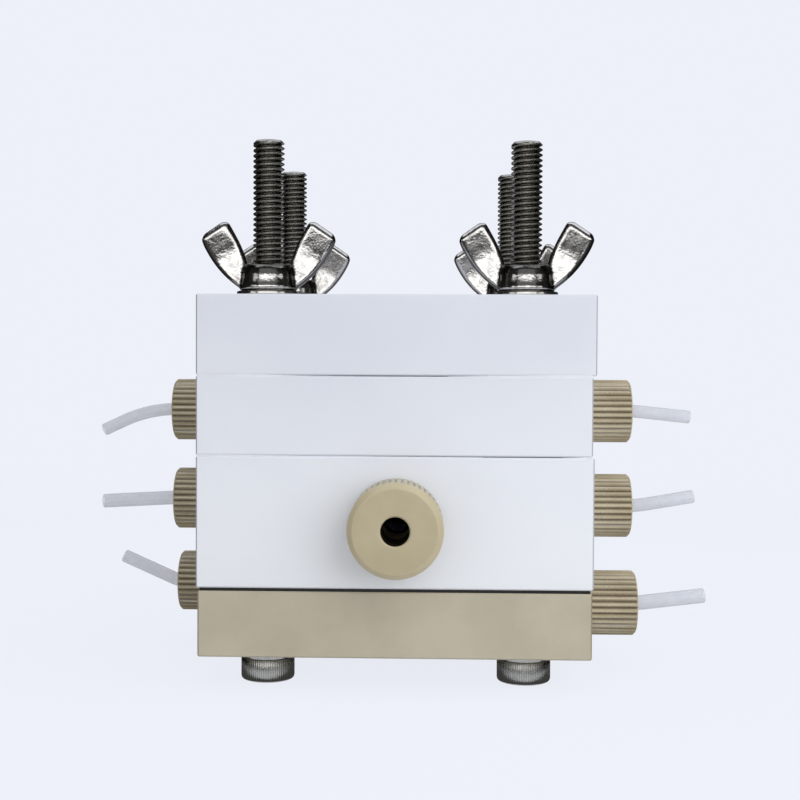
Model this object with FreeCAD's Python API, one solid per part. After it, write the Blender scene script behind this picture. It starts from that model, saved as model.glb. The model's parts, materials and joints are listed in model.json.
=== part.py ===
import FreeCAD, Part
import math
import os
from FreeCAD import Placement, Rotation, Vector

# Clamped-plate electrochemical cell, in millimetres.
# It stands on four screw heads at z = 0, with the middle of the screw pattern on the Z axis.
# The reference electrode port faces -Y, and the liquid and gas ports face -X and +X.

# Plates, named from the bottom of the stack to the top
plate_width = 73.0
plate_depth = 73.0
gas_plate_thickness = 12.2
catholyte_plate_thickness = 24.2
anolyte_plate_thickness = 14.5
end_plate_thickness = 14.8
plate_chamfer = 0.25

# How far each plate's left and right side faces were cut in from the nominal width
side_trims = {"gas": (0.3, 0.4), "catholyte": (0.0, 0.17), "anolyte": (0.0, 0.5), "end": (0.0, -0.15)}

# Sheets between the plates
cathode_gasket_thickness = 0.6
membrane_thickness = 0.2
anode_gasket_thickness = 0.2
black_gasket_inset = 0.35
clear_gasket_inset = 0.4
sheet_hole_clearance = 0.5
sheet_fit = 0.2

# Chambers and the flow pattern under the gas diffusion electrode
chamber_size = 24.0
chamber_corner = 1.5
membrane_lap = 5.0
cathode_lap = 3.0
collector_lap = 5.0
collector_thickness = 0.3
anode_lap = 3.0
anode_thickness = 0.5
flow_passes = 13
flow_channel_width = 1.0
flow_channel_depth = 1.0
flow_border = 0.6

# Contact tabs of the anode and of the cathode collector
tab_width = 12.0
tab_reach = 11.0
tab_corner = 2.0
tab_hole = 3.2
tab_hole_inset = 5.0

# Clamp screws, washers and wing nuts, metric thread of 6 mm
screw_spacing = 49.0
thread_diameter = 5.95
screw_length = 96.3
screw_tip_chamfer = 0.45
head_diameter = 10.2
head_height = 6.5
head_edge = 0.5
socket_width = 5.0
socket_depth = 3.0
screw_hole_clearance = 0.325
washer_diameter = 12.1
washer_thickness = 1.0
washer_clearance = 0.225
nut_clearance = 0.07
nut_span = 26.3
nut_height = 13.5
nut_hub_height = 5.1
nut_hub_foot = 10.9
nut_hub_top = 9.4
wing_thickness = 2.4
wing_tip_run = 4.9
wing_tip_drop = 3.3
wing_tip_corner = 0.9
wing_inner_bulge = 1.0
wing_outer_bulge = 1.0
wing_edge = 0.5

# How far each wing nut is turned from the X axis at rest, in degrees, counterclockwise from above
nut_angles = {"front_left": 0.0, "front_right": -8.0, "rear_left": 0.0, "rear_right": 0.0}

# How much longer than the nominal length each clamp screw is
screw_extras = {"front_left": 0.0, "front_right": -0.3, "rear_left": 0.6, "rear_right": 0.0}

# Finger-tight port fittings, tapped holes of 6.35 mm, and their tube stubs
tube_outer = 3.0
tube_bore = 1.6
port_thread = 6.35
thread_clearance = 0.06
port_depth = 9.2
channel_diameter = 2.0
ferrule_length = 4.0
ferrule_back = 2.5
ferrule_front_diameter = 5.8
ferrule_back_diameter = 4.6
ferrule_clearance = 0.02
tube_clearance = 0.06
fitting_diameter = 12.8
fitting_length = 10.45
fitting_chamfer = 0.5
fitting_ribs = 32
fitting_rib_depth = 0.35
rib_crest_share = 0.44
anolyte_port_offset = 3.2
catholyte_port_offset = 4.8
gas_port_offset = 11.7

# How far the axis of each port stands above the middle of its plate
port_rises = {
    "anolyte_left": -0.3,
    "anolyte_right": 0.0,
    "catholyte_left": 0.3,
    "catholyte_right": 0.3,
    "gas_left": 0.35,
    "gas_right": 0.35,
}

# How far the head of each fitting stands off its plate
fitting_gaps = {
    "anolyte_left": 0.3,
    "anolyte_right": 0.75,
    "catholyte_left": 0.3,
    "catholyte_right": 0.3,
    "gas_left": 0.9,
    "gas_right": 0.8,
}

# Each stub's bend upward in degrees, its bend radius, and how far its tip stands from the middle of the cell
stub_bends = {
    "anolyte_left": (-25.0, 26.0, 62.7),
    "anolyte_right": (-6.0, 25.0, 59.7),
    "catholyte_left": (-3.2, 40.0, 63.2),
    "catholyte_right": (9.8, 20.0, 60.3),
    "gas_left": (26.0, 9.0, 60.3),
    "gas_right": (7.0, 15.0, 61.3),
}

# Reference electrode port: knurled cap, compression ring and O-ring
reference_port_offset = 0.33
reference_port_rise = -0.23
cap_diameter = 16.8
cap_length = 10.8
cap_gap = 0.3
cap_chamfer = 0.85
cap_bore = 5.2
cap_bore_chamfer = 0.3
cap_ribs = 36
cap_rib_depth = 0.22
cap_thread = 13.0
cap_stem = 7.6
reference_hole_depth = 9.6
ring_gap = 0.2
ring_nose = 0.6
ring_nose_clearance = 0.15
gland_diameter = 9.0
o_ring_section = 1.8
o_ring_clearance = 0.05
electrode_clearance = 0.3
ring_face = cap_stem - cap_gap

# Sheets sized by the chamber
cathode_size = chamber_size + 2 * cathode_lap
collector_size = chamber_size + 2 * collector_lap
membrane_size = chamber_size + 2 * membrane_lap
anode_size = chamber_size + 2 * anode_lap
flow_field_size = 2 * gas_port_offset + flow_channel_width + 2 * flow_border
collector_window = flow_field_size + 2 * sheet_fit

# Heights of the stack
gas_plate_bottom = head_height
gas_plate_top = gas_plate_bottom + gas_plate_thickness
catholyte_bottom = gas_plate_top + cathode_gasket_thickness
catholyte_top = catholyte_bottom + catholyte_plate_thickness
anolyte_bottom = catholyte_top + membrane_thickness
anolyte_top = anolyte_bottom + anolyte_plate_thickness
end_plate_bottom = anolyte_top + anode_gasket_thickness
end_plate_top = end_plate_bottom + end_plate_thickness
nut_bottom = end_plate_top + washer_thickness

# Difference below which two points or two directions count as the same
touching = 1e-6

up = Vector(0, 0, 1)
front = Vector(0, -1, 0)
side_direction = {"left": Vector(-1, 0, 0), "right": Vector(1, 0, 0)}
corner_signs = {
    "front_left": (-1, -1),
    "front_right": (1, -1),
    "rear_left": (-1, 1),
    "rear_right": (1, 1),
}
screw_places = {
    corner: (sign_x * screw_spacing / 2, sign_y * screw_spacing / 2)
    for corner, (sign_x, sign_y) in corner_signs.items()
}
plate_spans = {
    "gas": (gas_plate_bottom, gas_plate_top),
    "catholyte": (catholyte_bottom, catholyte_top),
    "anolyte": (anolyte_bottom, anolyte_top),
    "end": (end_plate_bottom, end_plate_top),
}
port_offsets = {
    "anolyte": anolyte_port_offset,
    "catholyte": catholyte_port_offset,
    "gas": gas_port_offset,
}


def edges_along(solid, direction):
    return [e for e in solid.Edges if e.tangentAt(e.FirstParameter).cross(direction).Length < touching]


def square(size, bottom, top, corner=0.0):
    """An upright square block centred on the Z axis, with its upright edges rounded to the corner radius."""
    solid = Part.makeBox(size, size, top - bottom, Vector(-size / 2, -size / 2, bottom))
    if corner > 0:
        solid = solid.makeFillet(corner, edges_along(solid, up))
    return solid


def turned(points, start, direction):
    """A solid of revolution. Each point is (distance along the axis, radius), listed around the section."""
    section = Part.makePolygon([Vector(r, 0, along) for along, r in points + points[:1]])
    solid = Part.Face(section).revolve(Vector(0, 0, 0), up, 360)
    solid.Placement = Placement(start, Rotation(up, direction))
    return solid


def rod(diameter, start, direction, length):
    return Part.makeCylinder(diameter / 2, length, start, direction)


def screw_holes(bottom, top, clearance):
    """Four upright cylinders where the clamp screws pass."""
    diameter = thread_diameter + 2 * clearance
    return [rod(diameter, Vector(x, y, bottom), up, top - bottom) for x, y in screw_places.values()]


def side_face(level, side):
    """X of the left or right side face of a plate."""
    left_trim, right_trim = side_trims[level]
    if side == "left":
        return left_trim - plate_width / 2
    return plate_width / 2 - right_trim


def plate(level):
    """A plate of the stack with broken edges, drilled for the clamp screws."""
    bottom, top = plate_spans[level]
    left = side_face(level, "left")
    width = side_face(level, "right") - left
    blank = Part.makeBox(width, plate_depth, top - bottom, Vector(left, -plate_depth / 2, bottom))
    blank = blank.makeChamfer(plate_chamfer, blank.Edges)
    return blank.cut(screw_holes(bottom, top, screw_hole_clearance))


def port_start(level, side):
    """Point where the axis of a port meets the side face of its plate."""
    y = -side_direction[side].x * port_offsets[level]
    z = sum(plate_spans[level]) / 2 + port_rises[level + "_" + side]
    return Vector(side_face(level, side), y, z)


def port_hole(level, side, inner_x):
    """A tapped hole from the side face, and the narrow channel from its floor to the chamber."""
    mouth = port_start(level, side)
    inward = side_direction[side] * -1
    socket = rod(port_thread + 2 * thread_clearance, mouth, inward, port_depth)
    channel = rod(channel_diameter, mouth, inward, abs(mouth.x) - inner_x)
    return [socket, channel]


def contact_tab(bottom, top, start_y, clearance=0.0):
    """The strip that leads from a sheet electrode out of the back of the stack."""
    length = plate_depth / 2 + tab_reach - start_y
    strip = Part.makeBox(tab_width + 2 * clearance, length, top - bottom)
    strip.translate(Vector(-tab_width / 2 - clearance, start_y, bottom))
    return strip


def sheet_with_tab(size, bottom, top):
    """A square metal sheet with a rear tab that has rounded corners and a contact hole."""
    strip = contact_tab(bottom, top, size / 2 - tab_corner)
    end_y = plate_depth / 2 + tab_reach
    end_edges = [e for e in edges_along(strip, up) if abs(e.CenterOfMass.y - end_y) < touching]
    strip = strip.makeFillet(tab_corner, end_edges)
    hole = rod(tab_hole, Vector(0, end_y - tab_hole_inset, bottom), up, top - bottom)
    return square(size, bottom, top).fuse(strip).cut(hole).removeSplitter()


def gasket(lower, upper, inset, window):
    """A thin sheet between two plates, inset from the smaller one, with a square window and screw holes."""
    bottom = plate_spans[lower][1]
    top = plate_spans[upper][0]
    left = max(side_face(lower, "left"), side_face(upper, "left")) + inset
    right = min(side_face(lower, "right"), side_face(upper, "right")) - inset
    depth = plate_depth - 2 * inset
    sheet = Part.makeBox(right - left, depth, top - bottom, Vector(left, -depth / 2, bottom))
    holes = screw_holes(bottom, top, screw_hole_clearance + sheet_hole_clearance)
    return sheet.cut([square(window, bottom, top)] + holes)


def flow_field():
    """The serpentine channel milled into the top of the gas plate, and the two risers that feed it."""
    half = gas_port_offset
    width = flow_channel_width
    floor = gas_plate_top - collector_thickness - flow_channel_depth
    pitch = 2 * half / (flow_passes - 1)
    cuts = []
    for number in range(flow_passes):
        y = half - number * pitch
        start = Vector(-half - width / 2, y - width / 2, floor)
        cuts.append(Part.makeBox(2 * half + width, width, gas_plate_top - floor, start))
        if number < flow_passes - 1:
            side = 1 if number % 2 == 0 else -1
            start = Vector(side * half - width / 2, y - pitch, floor)
            cuts.append(Part.makeBox(width, pitch, gas_plate_top - floor, start))
    for side in ("left", "right"):
        direction = side_direction[side]
        foot = Vector(direction.x * half, -direction.x * half, port_start("gas", side).z)
        cuts.append(rod(width, foot, up, floor - foot.z))
    return cuts


def ribbed_knob(diameter, length, ribs, rib_depth, chamfer, start, direction):
    """A turned knob with straight knurling and a broken outer edge."""
    crest = diameter / 2
    root = crest - rib_depth
    step = 2 * math.pi / ribs
    outline = []
    half_crest = rib_crest_share / 2
    for number in range(ribs):
        for share, radius in ((-half_crest, crest), (half_crest, crest), (0.5, root)):
            angle = (number + share) * step
            outline.append(Vector(radius * math.cos(angle), radius * math.sin(angle), 0))
    prism = Part.Face(Part.makePolygon(outline + outline[:1])).extrude(up * length)
    prism.Placement = Placement(start, Rotation(up, direction))
    envelope = [(0, 0), (0, crest - chamfer / 2), (chamfer / 2, crest), (length - chamfer, crest)]
    envelope += [(length, crest - chamfer), (length, 0)]
    return prism.common(turned(envelope, start, direction))


def gas_plate():
    """The gas plate: a serpentine flow field with a recess for the collector, ports on both sides."""
    recess_bottom = gas_plate_top - collector_thickness
    recess_size = collector_size + 2 * sheet_fit
    island = square(flow_field_size, recess_bottom, gas_plate_top)
    recess = square(recess_size, recess_bottom, gas_plate_top).cut(island)
    slot = contact_tab(recess_bottom, gas_plate_top, recess_size / 2, sheet_fit)
    cuts = [recess, slot] + flow_field()
    for side in side_direction:
        cuts += port_hole("gas", side, gas_port_offset)
    return plate("gas").cut(cuts)


def cathode_collector():
    """The metal frame sheet that lies round the flow field and touches the cathode's border."""
    bottom = gas_plate_top - collector_thickness
    window = square(collector_window, bottom, gas_plate_top)
    return sheet_with_tab(collector_size, bottom, gas_plate_top).cut(window)


def gas_diffusion_cathode():
    return square(cathode_size, gas_plate_top, catholyte_bottom)


def cathode_gasket():
    return gasket("gas", "catholyte", black_gasket_inset, cathode_size + 2 * sheet_fit)


def chamber_plate(level):
    """A frame plate whose square window is the liquid chamber, with a port on each side."""
    bottom, top = plate_spans[level]
    cuts = [square(chamber_size, bottom, top, chamber_corner)]
    for side in side_direction:
        cuts += port_hole(level, side, chamber_size / 2 - channel_diameter / 2)
    return plate(level).cut(cuts)


def reference_mouth():
    middle = sum(plate_spans["catholyte"]) / 2
    return Vector(reference_port_offset, -plate_depth / 2, middle + reference_port_rise)


def catholyte_plate():
    """The thick chamber plate, with the stepped reference electrode port in its front face."""
    solid = chamber_plate("catholyte")
    inward = front * -1
    mouth = reference_mouth()
    to_chamber = plate_depth / 2 - chamber_size / 2 + chamber_corner
    gland_depth = reference_hole_depth + ring_nose + ring_nose_clearance + o_ring_section + o_ring_clearance
    cuts = [rod(cap_thread + 2 * thread_clearance, mouth, inward, reference_hole_depth)]
    cuts.append(rod(gland_diameter, mouth, inward, gland_depth))
    cuts.append(rod(cap_bore + 2 * electrode_clearance, mouth, inward, to_chamber))
    return solid.cut(cuts)


def reference_cap():
    """The knurled cap: a drilled knob and the threaded stem that presses the compression ring."""
    start = reference_mouth() + front * cap_gap
    knob = ribbed_knob(cap_diameter, cap_length, cap_ribs, cap_rib_depth, cap_chamfer, start, front)
    stem = rod(cap_thread, start, front * -1, cap_stem)
    bore = cap_bore / 2
    flare = bore + cap_bore_chamfer
    drill = [(-cap_stem, 0), (-cap_stem, bore), (cap_length - cap_bore_chamfer, bore)]
    drill += [(cap_length, flare), (cap_length, 0)]
    return knob.fuse(stem).cut(turned(drill, start, front)).removeSplitter()


def compression_ring():
    """The flanged ring between the cap's stem and the O-ring."""
    start = reference_mouth() - front * ring_face
    inner = cap_bore / 2 + electrode_clearance
    outer = cap_thread / 2 - ring_gap
    nose_radius = gland_diameter / 2 - ring_gap
    flange = reference_hole_depth - ring_face
    nose = flange + ring_nose
    section = [(0, inner), (0, outer), (flange, outer), (flange, nose_radius)]
    section += [(nose, nose_radius), (nose, inner)]
    return turned(section, start, front * -1)


def o_ring():
    """The soft ring round the electrode, on the floor of its gland."""
    middle = gland_diameter / 2 - o_ring_clearance - o_ring_section / 2
    depth = reference_hole_depth + ring_nose + ring_nose_clearance + o_ring_section / 2
    centre = reference_mouth() - front * depth
    return Part.makeTorus(middle, o_ring_section / 2, centre, front)


def membrane():
    return square(membrane_size, catholyte_top, anolyte_bottom)


def membrane_gasket():
    return gasket("catholyte", "anolyte", clear_gasket_inset, membrane_size + 2 * sheet_fit)


def anode_gasket():
    return gasket("anolyte", "end", clear_gasket_inset, chamber_size)


def anode():
    return sheet_with_tab(anode_size, end_plate_bottom, end_plate_bottom + anode_thickness)


def end_plate():
    """The blank top plate, recessed underneath for the anode and its tab."""
    recess_top = end_plate_bottom + anode_thickness
    recess_size = anode_size + 2 * sheet_fit
    recess = square(recess_size, end_plate_bottom, recess_top)
    slot = contact_tab(end_plate_bottom, recess_top, recess_size / 2, sheet_fit)
    return plate("end").cut([recess, slot])


def clamp_screw(corner):
    """A socket head cap screw, head down, with its tip above the wing nut."""
    x, y = screw_places[corner]
    head = Part.makeCylinder(head_diameter / 2, head_height, Vector(x, y, 0))
    foot_edge = [e for e in head.Edges if e.Closed and e.CenterOfMass.z < head_height / 2]
    head = head.makeFillet(head_edge, foot_edge)
    radius = thread_diameter / 2
    length = screw_length + screw_extras[corner]
    shank_outline = [(0, 0), (0, radius), (length - screw_tip_chamfer, radius)]
    shank_outline += [(length, radius - screw_tip_chamfer), (length, 0)]
    shank = turned(shank_outline, Vector(x, y, head_height), up)
    corner_radius = socket_width / 2 / math.cos(math.pi / 6)
    angles = [math.radians(60 * number) for number in range(7)]
    hexagon = [Vector(x + corner_radius * math.cos(a), y + corner_radius * math.sin(a), 0) for a in angles]
    socket = Part.Face(Part.makePolygon(hexagon)).extrude(up * socket_depth)
    return head.fuse(shank).cut(socket).removeSplitter()


def washer(corner):
    x, y = screw_places[corner]
    bore = thread_diameter / 2 + washer_clearance
    rim = washer_diameter / 2
    section = [(0, bore), (0, rim), (washer_thickness, rim), (washer_thickness, bore)]
    return turned(section, Vector(x, y, end_plate_top), up)


def bulged_arc(start, end, bulge):
    """An arc between two points of the wing's outline, whose middle stands off the chord to its left."""
    chord = end - start
    across = Vector(-chord.z, 0, chord.x)
    across.normalize()
    middle = (start + end) * 0.5 + across * bulge
    return Part.Arc(start, middle, end).toShape()


def wing(side):
    """One cast wing of the nut: a curved paddle with broken edges, rooted in the hub."""
    bore = thread_diameter / 2 + nut_clearance
    inner_root = Vector((bore + nut_hub_top / 2) / 2, 0, nut_hub_height)
    outer_root = Vector(nut_hub_foot / 2 - wing_edge, 0, 0)
    inner_foot = Vector(inner_root.x, 0, 0)
    tip_outer = Vector(nut_span / 2, 0, nut_height - wing_tip_drop)
    tip_inner = Vector(nut_span / 2 - wing_tip_run, 0, nut_height)
    edges = [
        bulged_arc(outer_root, tip_outer, -wing_outer_bulge),
        Part.LineSegment(tip_outer, tip_inner).toShape(),
        bulged_arc(tip_inner, inner_root, -wing_inner_bulge),
        Part.LineSegment(inner_root, inner_foot).toShape(),
        Part.LineSegment(inner_foot, outer_root).toShape(),
    ]
    half = Vector(0, wing_thickness / 2, 0)
    face = Part.Face(Part.Wire(edges))
    face.translate(half * -1)
    blade = face.extrude(half * 2)
    tip_edges = [e for e in edges_along(blade, front) if e.CenterOfMass.x > outer_root.x + touching]
    blade = blade.makeFillet(wing_tip_corner, tip_edges)
    rims = [e for e in blade.Edges if abs(abs(e.CenterOfMass.y) - half.y) < touching]
    blade = blade.makeChamfer(wing_edge, rims)
    if side < 0:
        blade.rotate(Vector(0, 0, 0), up, 180)
    return blade


def wing_nut(corner):
    """A rounded wing nut: a tapered hub with two cast wings along X."""
    x, y = screw_places[corner]
    foot = nut_hub_foot / 2
    top = nut_hub_top / 2
    edge = wing_edge
    hub_outline = [(0, 0), (0, foot - edge / 2), (edge / 2, foot)]
    hub_outline += [(nut_hub_height - edge, top), (nut_hub_height, top - edge), (nut_hub_height, 0)]
    nut = turned(hub_outline, Vector(0, 0, 0), up).fuse([wing(1), wing(-1)])
    bore = thread_diameter / 2 + nut_clearance
    through = rod(2 * bore, Vector(0, 0, 0), up, nut_height)
    nut = nut.cut(through).removeSplitter()
    nut.rotate(Vector(0, 0, 0), up, nut_angles[corner])
    nut.translate(Vector(x, y, nut_bottom))
    return nut


def fitting(level, side):
    """A finger-tight fitting: ribbed head and threaded stem, drilled for the tube."""
    outward = side_direction[side]
    gap = fitting_gaps[level + "_" + side]
    start = port_start(level, side) + outward * gap
    head = ribbed_knob(
        fitting_diameter, fitting_length, fitting_ribs, fitting_rib_depth, fitting_chamfer, start, outward
    )
    stem_length = port_depth - ferrule_length + gap
    stem_end = start - outward * stem_length
    stem = rod(port_thread, stem_end, outward, stem_length)
    bore = rod(tube_outer + 2 * tube_clearance, stem_end, outward, stem_length + fitting_length)
    return head.fuse(stem).cut(bore).removeSplitter()


def ferrule(level, side):
    """The collar that seals the tube on the floor of the port."""
    outward = side_direction[side]
    floor = port_start(level, side) - outward * port_depth
    bore = tube_outer / 2 + ferrule_clearance
    front_radius = ferrule_front_diameter / 2
    section = [(0, bore), (0, front_radius), (ferrule_length - ferrule_back, front_radius)]
    section += [(ferrule_length, ferrule_back_diameter / 2), (ferrule_length, bore)]
    return turned(section, floor, outward)


def bent_rod(level, side, radius):
    """A round bar along a stub's path: straight through the fitting, one bend, then a straight end."""
    place = level + "_" + side
    bend, bend_radius, reach = stub_bends[place]
    outward = side_direction[side]
    floor = port_start(level, side) - outward * port_depth
    straight = port_depth + fitting_gaps[place] + fitting_length
    leave = floor + outward * straight
    rise = math.copysign(1, bend)
    centre = leave + up * (rise * bend_radius)
    turn_axis = outward.cross(up) * rise
    section = Part.Face(Part.Wire(Part.makeCircle(radius, leave, outward)))
    curve = section.revolve(centre, turn_axis, abs(bend))
    section.rotate(centre, turn_axis, abs(bend))
    angle = math.radians(bend)
    heading = outward * math.cos(angle) + up * math.sin(angle)
    bend_end = abs(leave.x) + bend_radius * abs(math.sin(angle))
    outer_run = section.extrude(heading * ((reach - bend_end) / math.cos(angle)))
    return rod(2 * radius, floor, outward, straight).fuse([curve, outer_run])


def tube_stub(level, side):
    """The short stiff tube that a fitting holds, bent a little and cut square."""
    outside = bent_rod(level, side, tube_outer / 2)
    return outside.cut(bent_rod(level, side, tube_bore / 2)).removeSplitter()


def all_nodes():
    """Every piece of the cell by name."""
    nodes = {
        "gas_plate": gas_plate(),
        "cathode_collector": cathode_collector(),
        "gas_diffusion_cathode": gas_diffusion_cathode(),
        "cathode_gasket": cathode_gasket(),
        "catholyte_plate": catholyte_plate(),
        "membrane": membrane(),
        "membrane_gasket": membrane_gasket(),
        "anolyte_plate": chamber_plate("anolyte"),
        "anode_gasket": anode_gasket(),
        "anode": anode(),
        "end_plate": end_plate(),
        "reference_cap": reference_cap(),
        "reference_ring": compression_ring(),
        "reference_o_ring": o_ring(),
    }
    for corner in corner_signs:
        nodes["clamp_screw_" + corner] = clamp_screw(corner)
        nodes["washer_" + corner] = washer(corner)
        nodes["wing_nut_" + corner] = wing_nut(corner)
    for level in port_offsets:
        for side in side_direction:
            place = level + "_" + side
            nodes["fitting_" + place] = fitting(level, side)
            nodes["ferrule_" + place] = ferrule(level, side)
            nodes["tube_" + place] = tube_stub(level, side)
    return nodes


os.makedirs("parts", exist_ok=True)
for name, shape in all_nodes().items():
    shape.exportStep("parts/" + name + ".step")
    print(name, "solids", len(shape.Solids), "volume", round(shape.Volume, 2), "valid", shape.isValid())
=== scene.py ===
import json
import math
import bpy
from mathutils import Matrix, Vector, noise


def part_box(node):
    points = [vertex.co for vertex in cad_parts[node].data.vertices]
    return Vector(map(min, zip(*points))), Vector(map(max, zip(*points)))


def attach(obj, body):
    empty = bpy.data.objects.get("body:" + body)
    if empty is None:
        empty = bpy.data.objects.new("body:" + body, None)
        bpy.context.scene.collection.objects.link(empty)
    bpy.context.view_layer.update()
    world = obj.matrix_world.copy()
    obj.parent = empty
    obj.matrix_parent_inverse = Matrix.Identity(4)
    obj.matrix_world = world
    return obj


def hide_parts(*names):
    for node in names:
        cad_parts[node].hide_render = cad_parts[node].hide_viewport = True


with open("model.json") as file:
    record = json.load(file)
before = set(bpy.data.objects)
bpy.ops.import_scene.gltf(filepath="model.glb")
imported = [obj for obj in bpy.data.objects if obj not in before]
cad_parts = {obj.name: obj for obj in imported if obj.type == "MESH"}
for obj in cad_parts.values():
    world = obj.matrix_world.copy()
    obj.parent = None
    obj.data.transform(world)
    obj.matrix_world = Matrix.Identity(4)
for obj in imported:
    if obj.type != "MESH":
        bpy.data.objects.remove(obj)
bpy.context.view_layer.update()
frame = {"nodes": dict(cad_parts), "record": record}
nodes = frame["nodes"]
bodyOf = {node: body for body, members in frame["record"]["behaviour"]["bodies"].items() for node in members}
corners = ["front_left", "front_right", "rear_left", "rear_right"]
ports = [level + "_" + side for level in ("anolyte", "catholyte", "gas") for side in ("left", "right")]
print("frame loaded:", len(nodes), "nodes")


# camera, worked out from the plates, screw tips and fittings in the picture
camera = {
    "place": (5.690, -286.714, 60.986),  # mm
    "yaw": -0.0299,  # radians
    "pitch": 0.0282,  # down
    "roll": 0.0043,
    "focalPixels": 1374.74,
    "middleX": 385.285,  # pixel column that the lens points at
    "imageSize": 800,
    "sensor": 36,  # mm
    "nearest": 0.005,  # m
}


def addCamera(c):
    flat = math.cos(c["pitch"])
    forward = Vector((math.sin(c["yaw"]) * flat, math.cos(c["yaw"]) * flat, -math.sin(c["pitch"])))
    level = Vector((math.cos(c["yaw"]), -math.sin(c["yaw"]), 0))
    upright = level.cross(forward)
    right = level * math.cos(c["roll"]) + upright * math.sin(c["roll"])
    above = upright * math.cos(c["roll"]) - level * math.sin(c["roll"])
    lens = bpy.data.cameras.new("camera")
    lens.sensor_width = c["sensor"]
    lens.lens = lens.sensor_width * c["focalPixels"] / c["imageSize"]
    lens.shift_x = 0.5 - c["middleX"] / c["imageSize"]
    lens.clip_start = c["nearest"]
    holder = bpy.data.objects.new("camera", lens)
    turn = Matrix((right, above, -forward)).transposed().to_4x4()
    holder.matrix_world = Matrix.Translation(Vector(c["place"]) / 1000) @ turn
    bpy.context.scene.collection.objects.link(holder)
    bpy.context.scene.camera = holder


addCamera(camera)
print("camera placed")


def toLinear(hexColour):
    parts = [int(hexColour[i:i + 2], 16) / 255 for i in (1, 3, 5)]
    return [p / 12.92 if p <= 0.04045 else ((p + 0.055) / 1.055) ** 2.4 for p in parts] + [1.0]


def addNode(tree, kind, values=None, links=None, **settings):
    node = tree.nodes.new(kind)
    for name, setting in settings.items():
        setattr(node, name, setting)
    for socket, value in (values or {}).items():
        node.inputs[socket].default_value = value
    for socket, source in (links or {}).items():
        tree.links.new(source, node.inputs[socket])
    return node


def emptyMaterial(name):
    material = bpy.data.materials.new(name)
    material.use_nodes = True
    material.node_tree.nodes.clear()
    return material, material.node_tree


def startMaterial(name):  # an empty material, and its pattern space in millimetres
    material, tree = emptyMaterial(name)
    space = addNode(tree, "ShaderNodeTexCoord")
    scaled = addNode(
        tree, "ShaderNodeVectorMath", {1: (1000, 1000, 1000)}, {0: space.outputs["Object"]},
        operation="MULTIPLY",
    )
    return material, tree, scaled.outputs[0]


# how much painted shade a point gets on a broken upright edge: there both x and y of the normal are large
def edgeShadeShare(tree, most):
    surface = addNode(tree, "ShaderNodeNewGeometry")
    normal = addNode(tree, "ShaderNodeSeparateXYZ", links={0: surface.outputs["True Normal"]})
    both = addNode(tree, "ShaderNodeMath", links={0: normal.outputs[0], 1: normal.outputs[1]}, operation="MULTIPLY")
    size = addNode(tree, "ShaderNodeMath", links={0: both.outputs[0]}, operation="ABSOLUTE")
    return addNode(tree, "ShaderNodeMapRange", {1: 0.12, 2: 0.42, 3: 0.0, 4: most}, {0: size.outputs[0]}).outputs[0]


def bandScale(pitch):  # wave texture scale for bands this many mm apart
    return 2 * math.pi / 20 / pitch


# machined PTFE: waxy white, a little light goes in, faint cutter lines
ptfe = {
    "low": "#f3f7ff",  # lighter low down, at the thick plate at the foot of the stack: painted light from below the front
    "high": "#dde1ec",  # darker higher up, on the thinner plates on top: painted shade
    "shadeHeights": (26, 70),  # mm, between which the painted light turns into the painted shade
    "edge": "#8d909a",  # painted shade on the broken upright edges
    "edgeShadeShare": 0.7,
    "patchSize": 30,  # mm
    "patchShare": 0.6,
    "cutterStep": 0.45,  # mm between the cutter's lines, coarser than real ones so that they show close up
    "cutterShare": 0.35,
    "grainSize": 0.8,  # mm
    "bump": 0.06,
    "bumpHeight": 0.00004,  # m
    "roughness": (0.36, 0.5),
    "ior": 1.36,
    "lightInside": 0.12,
    "lightReach": 0.0012,  # m
    "lightColour": (1.0, 1.0, 1.1),
}


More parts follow.
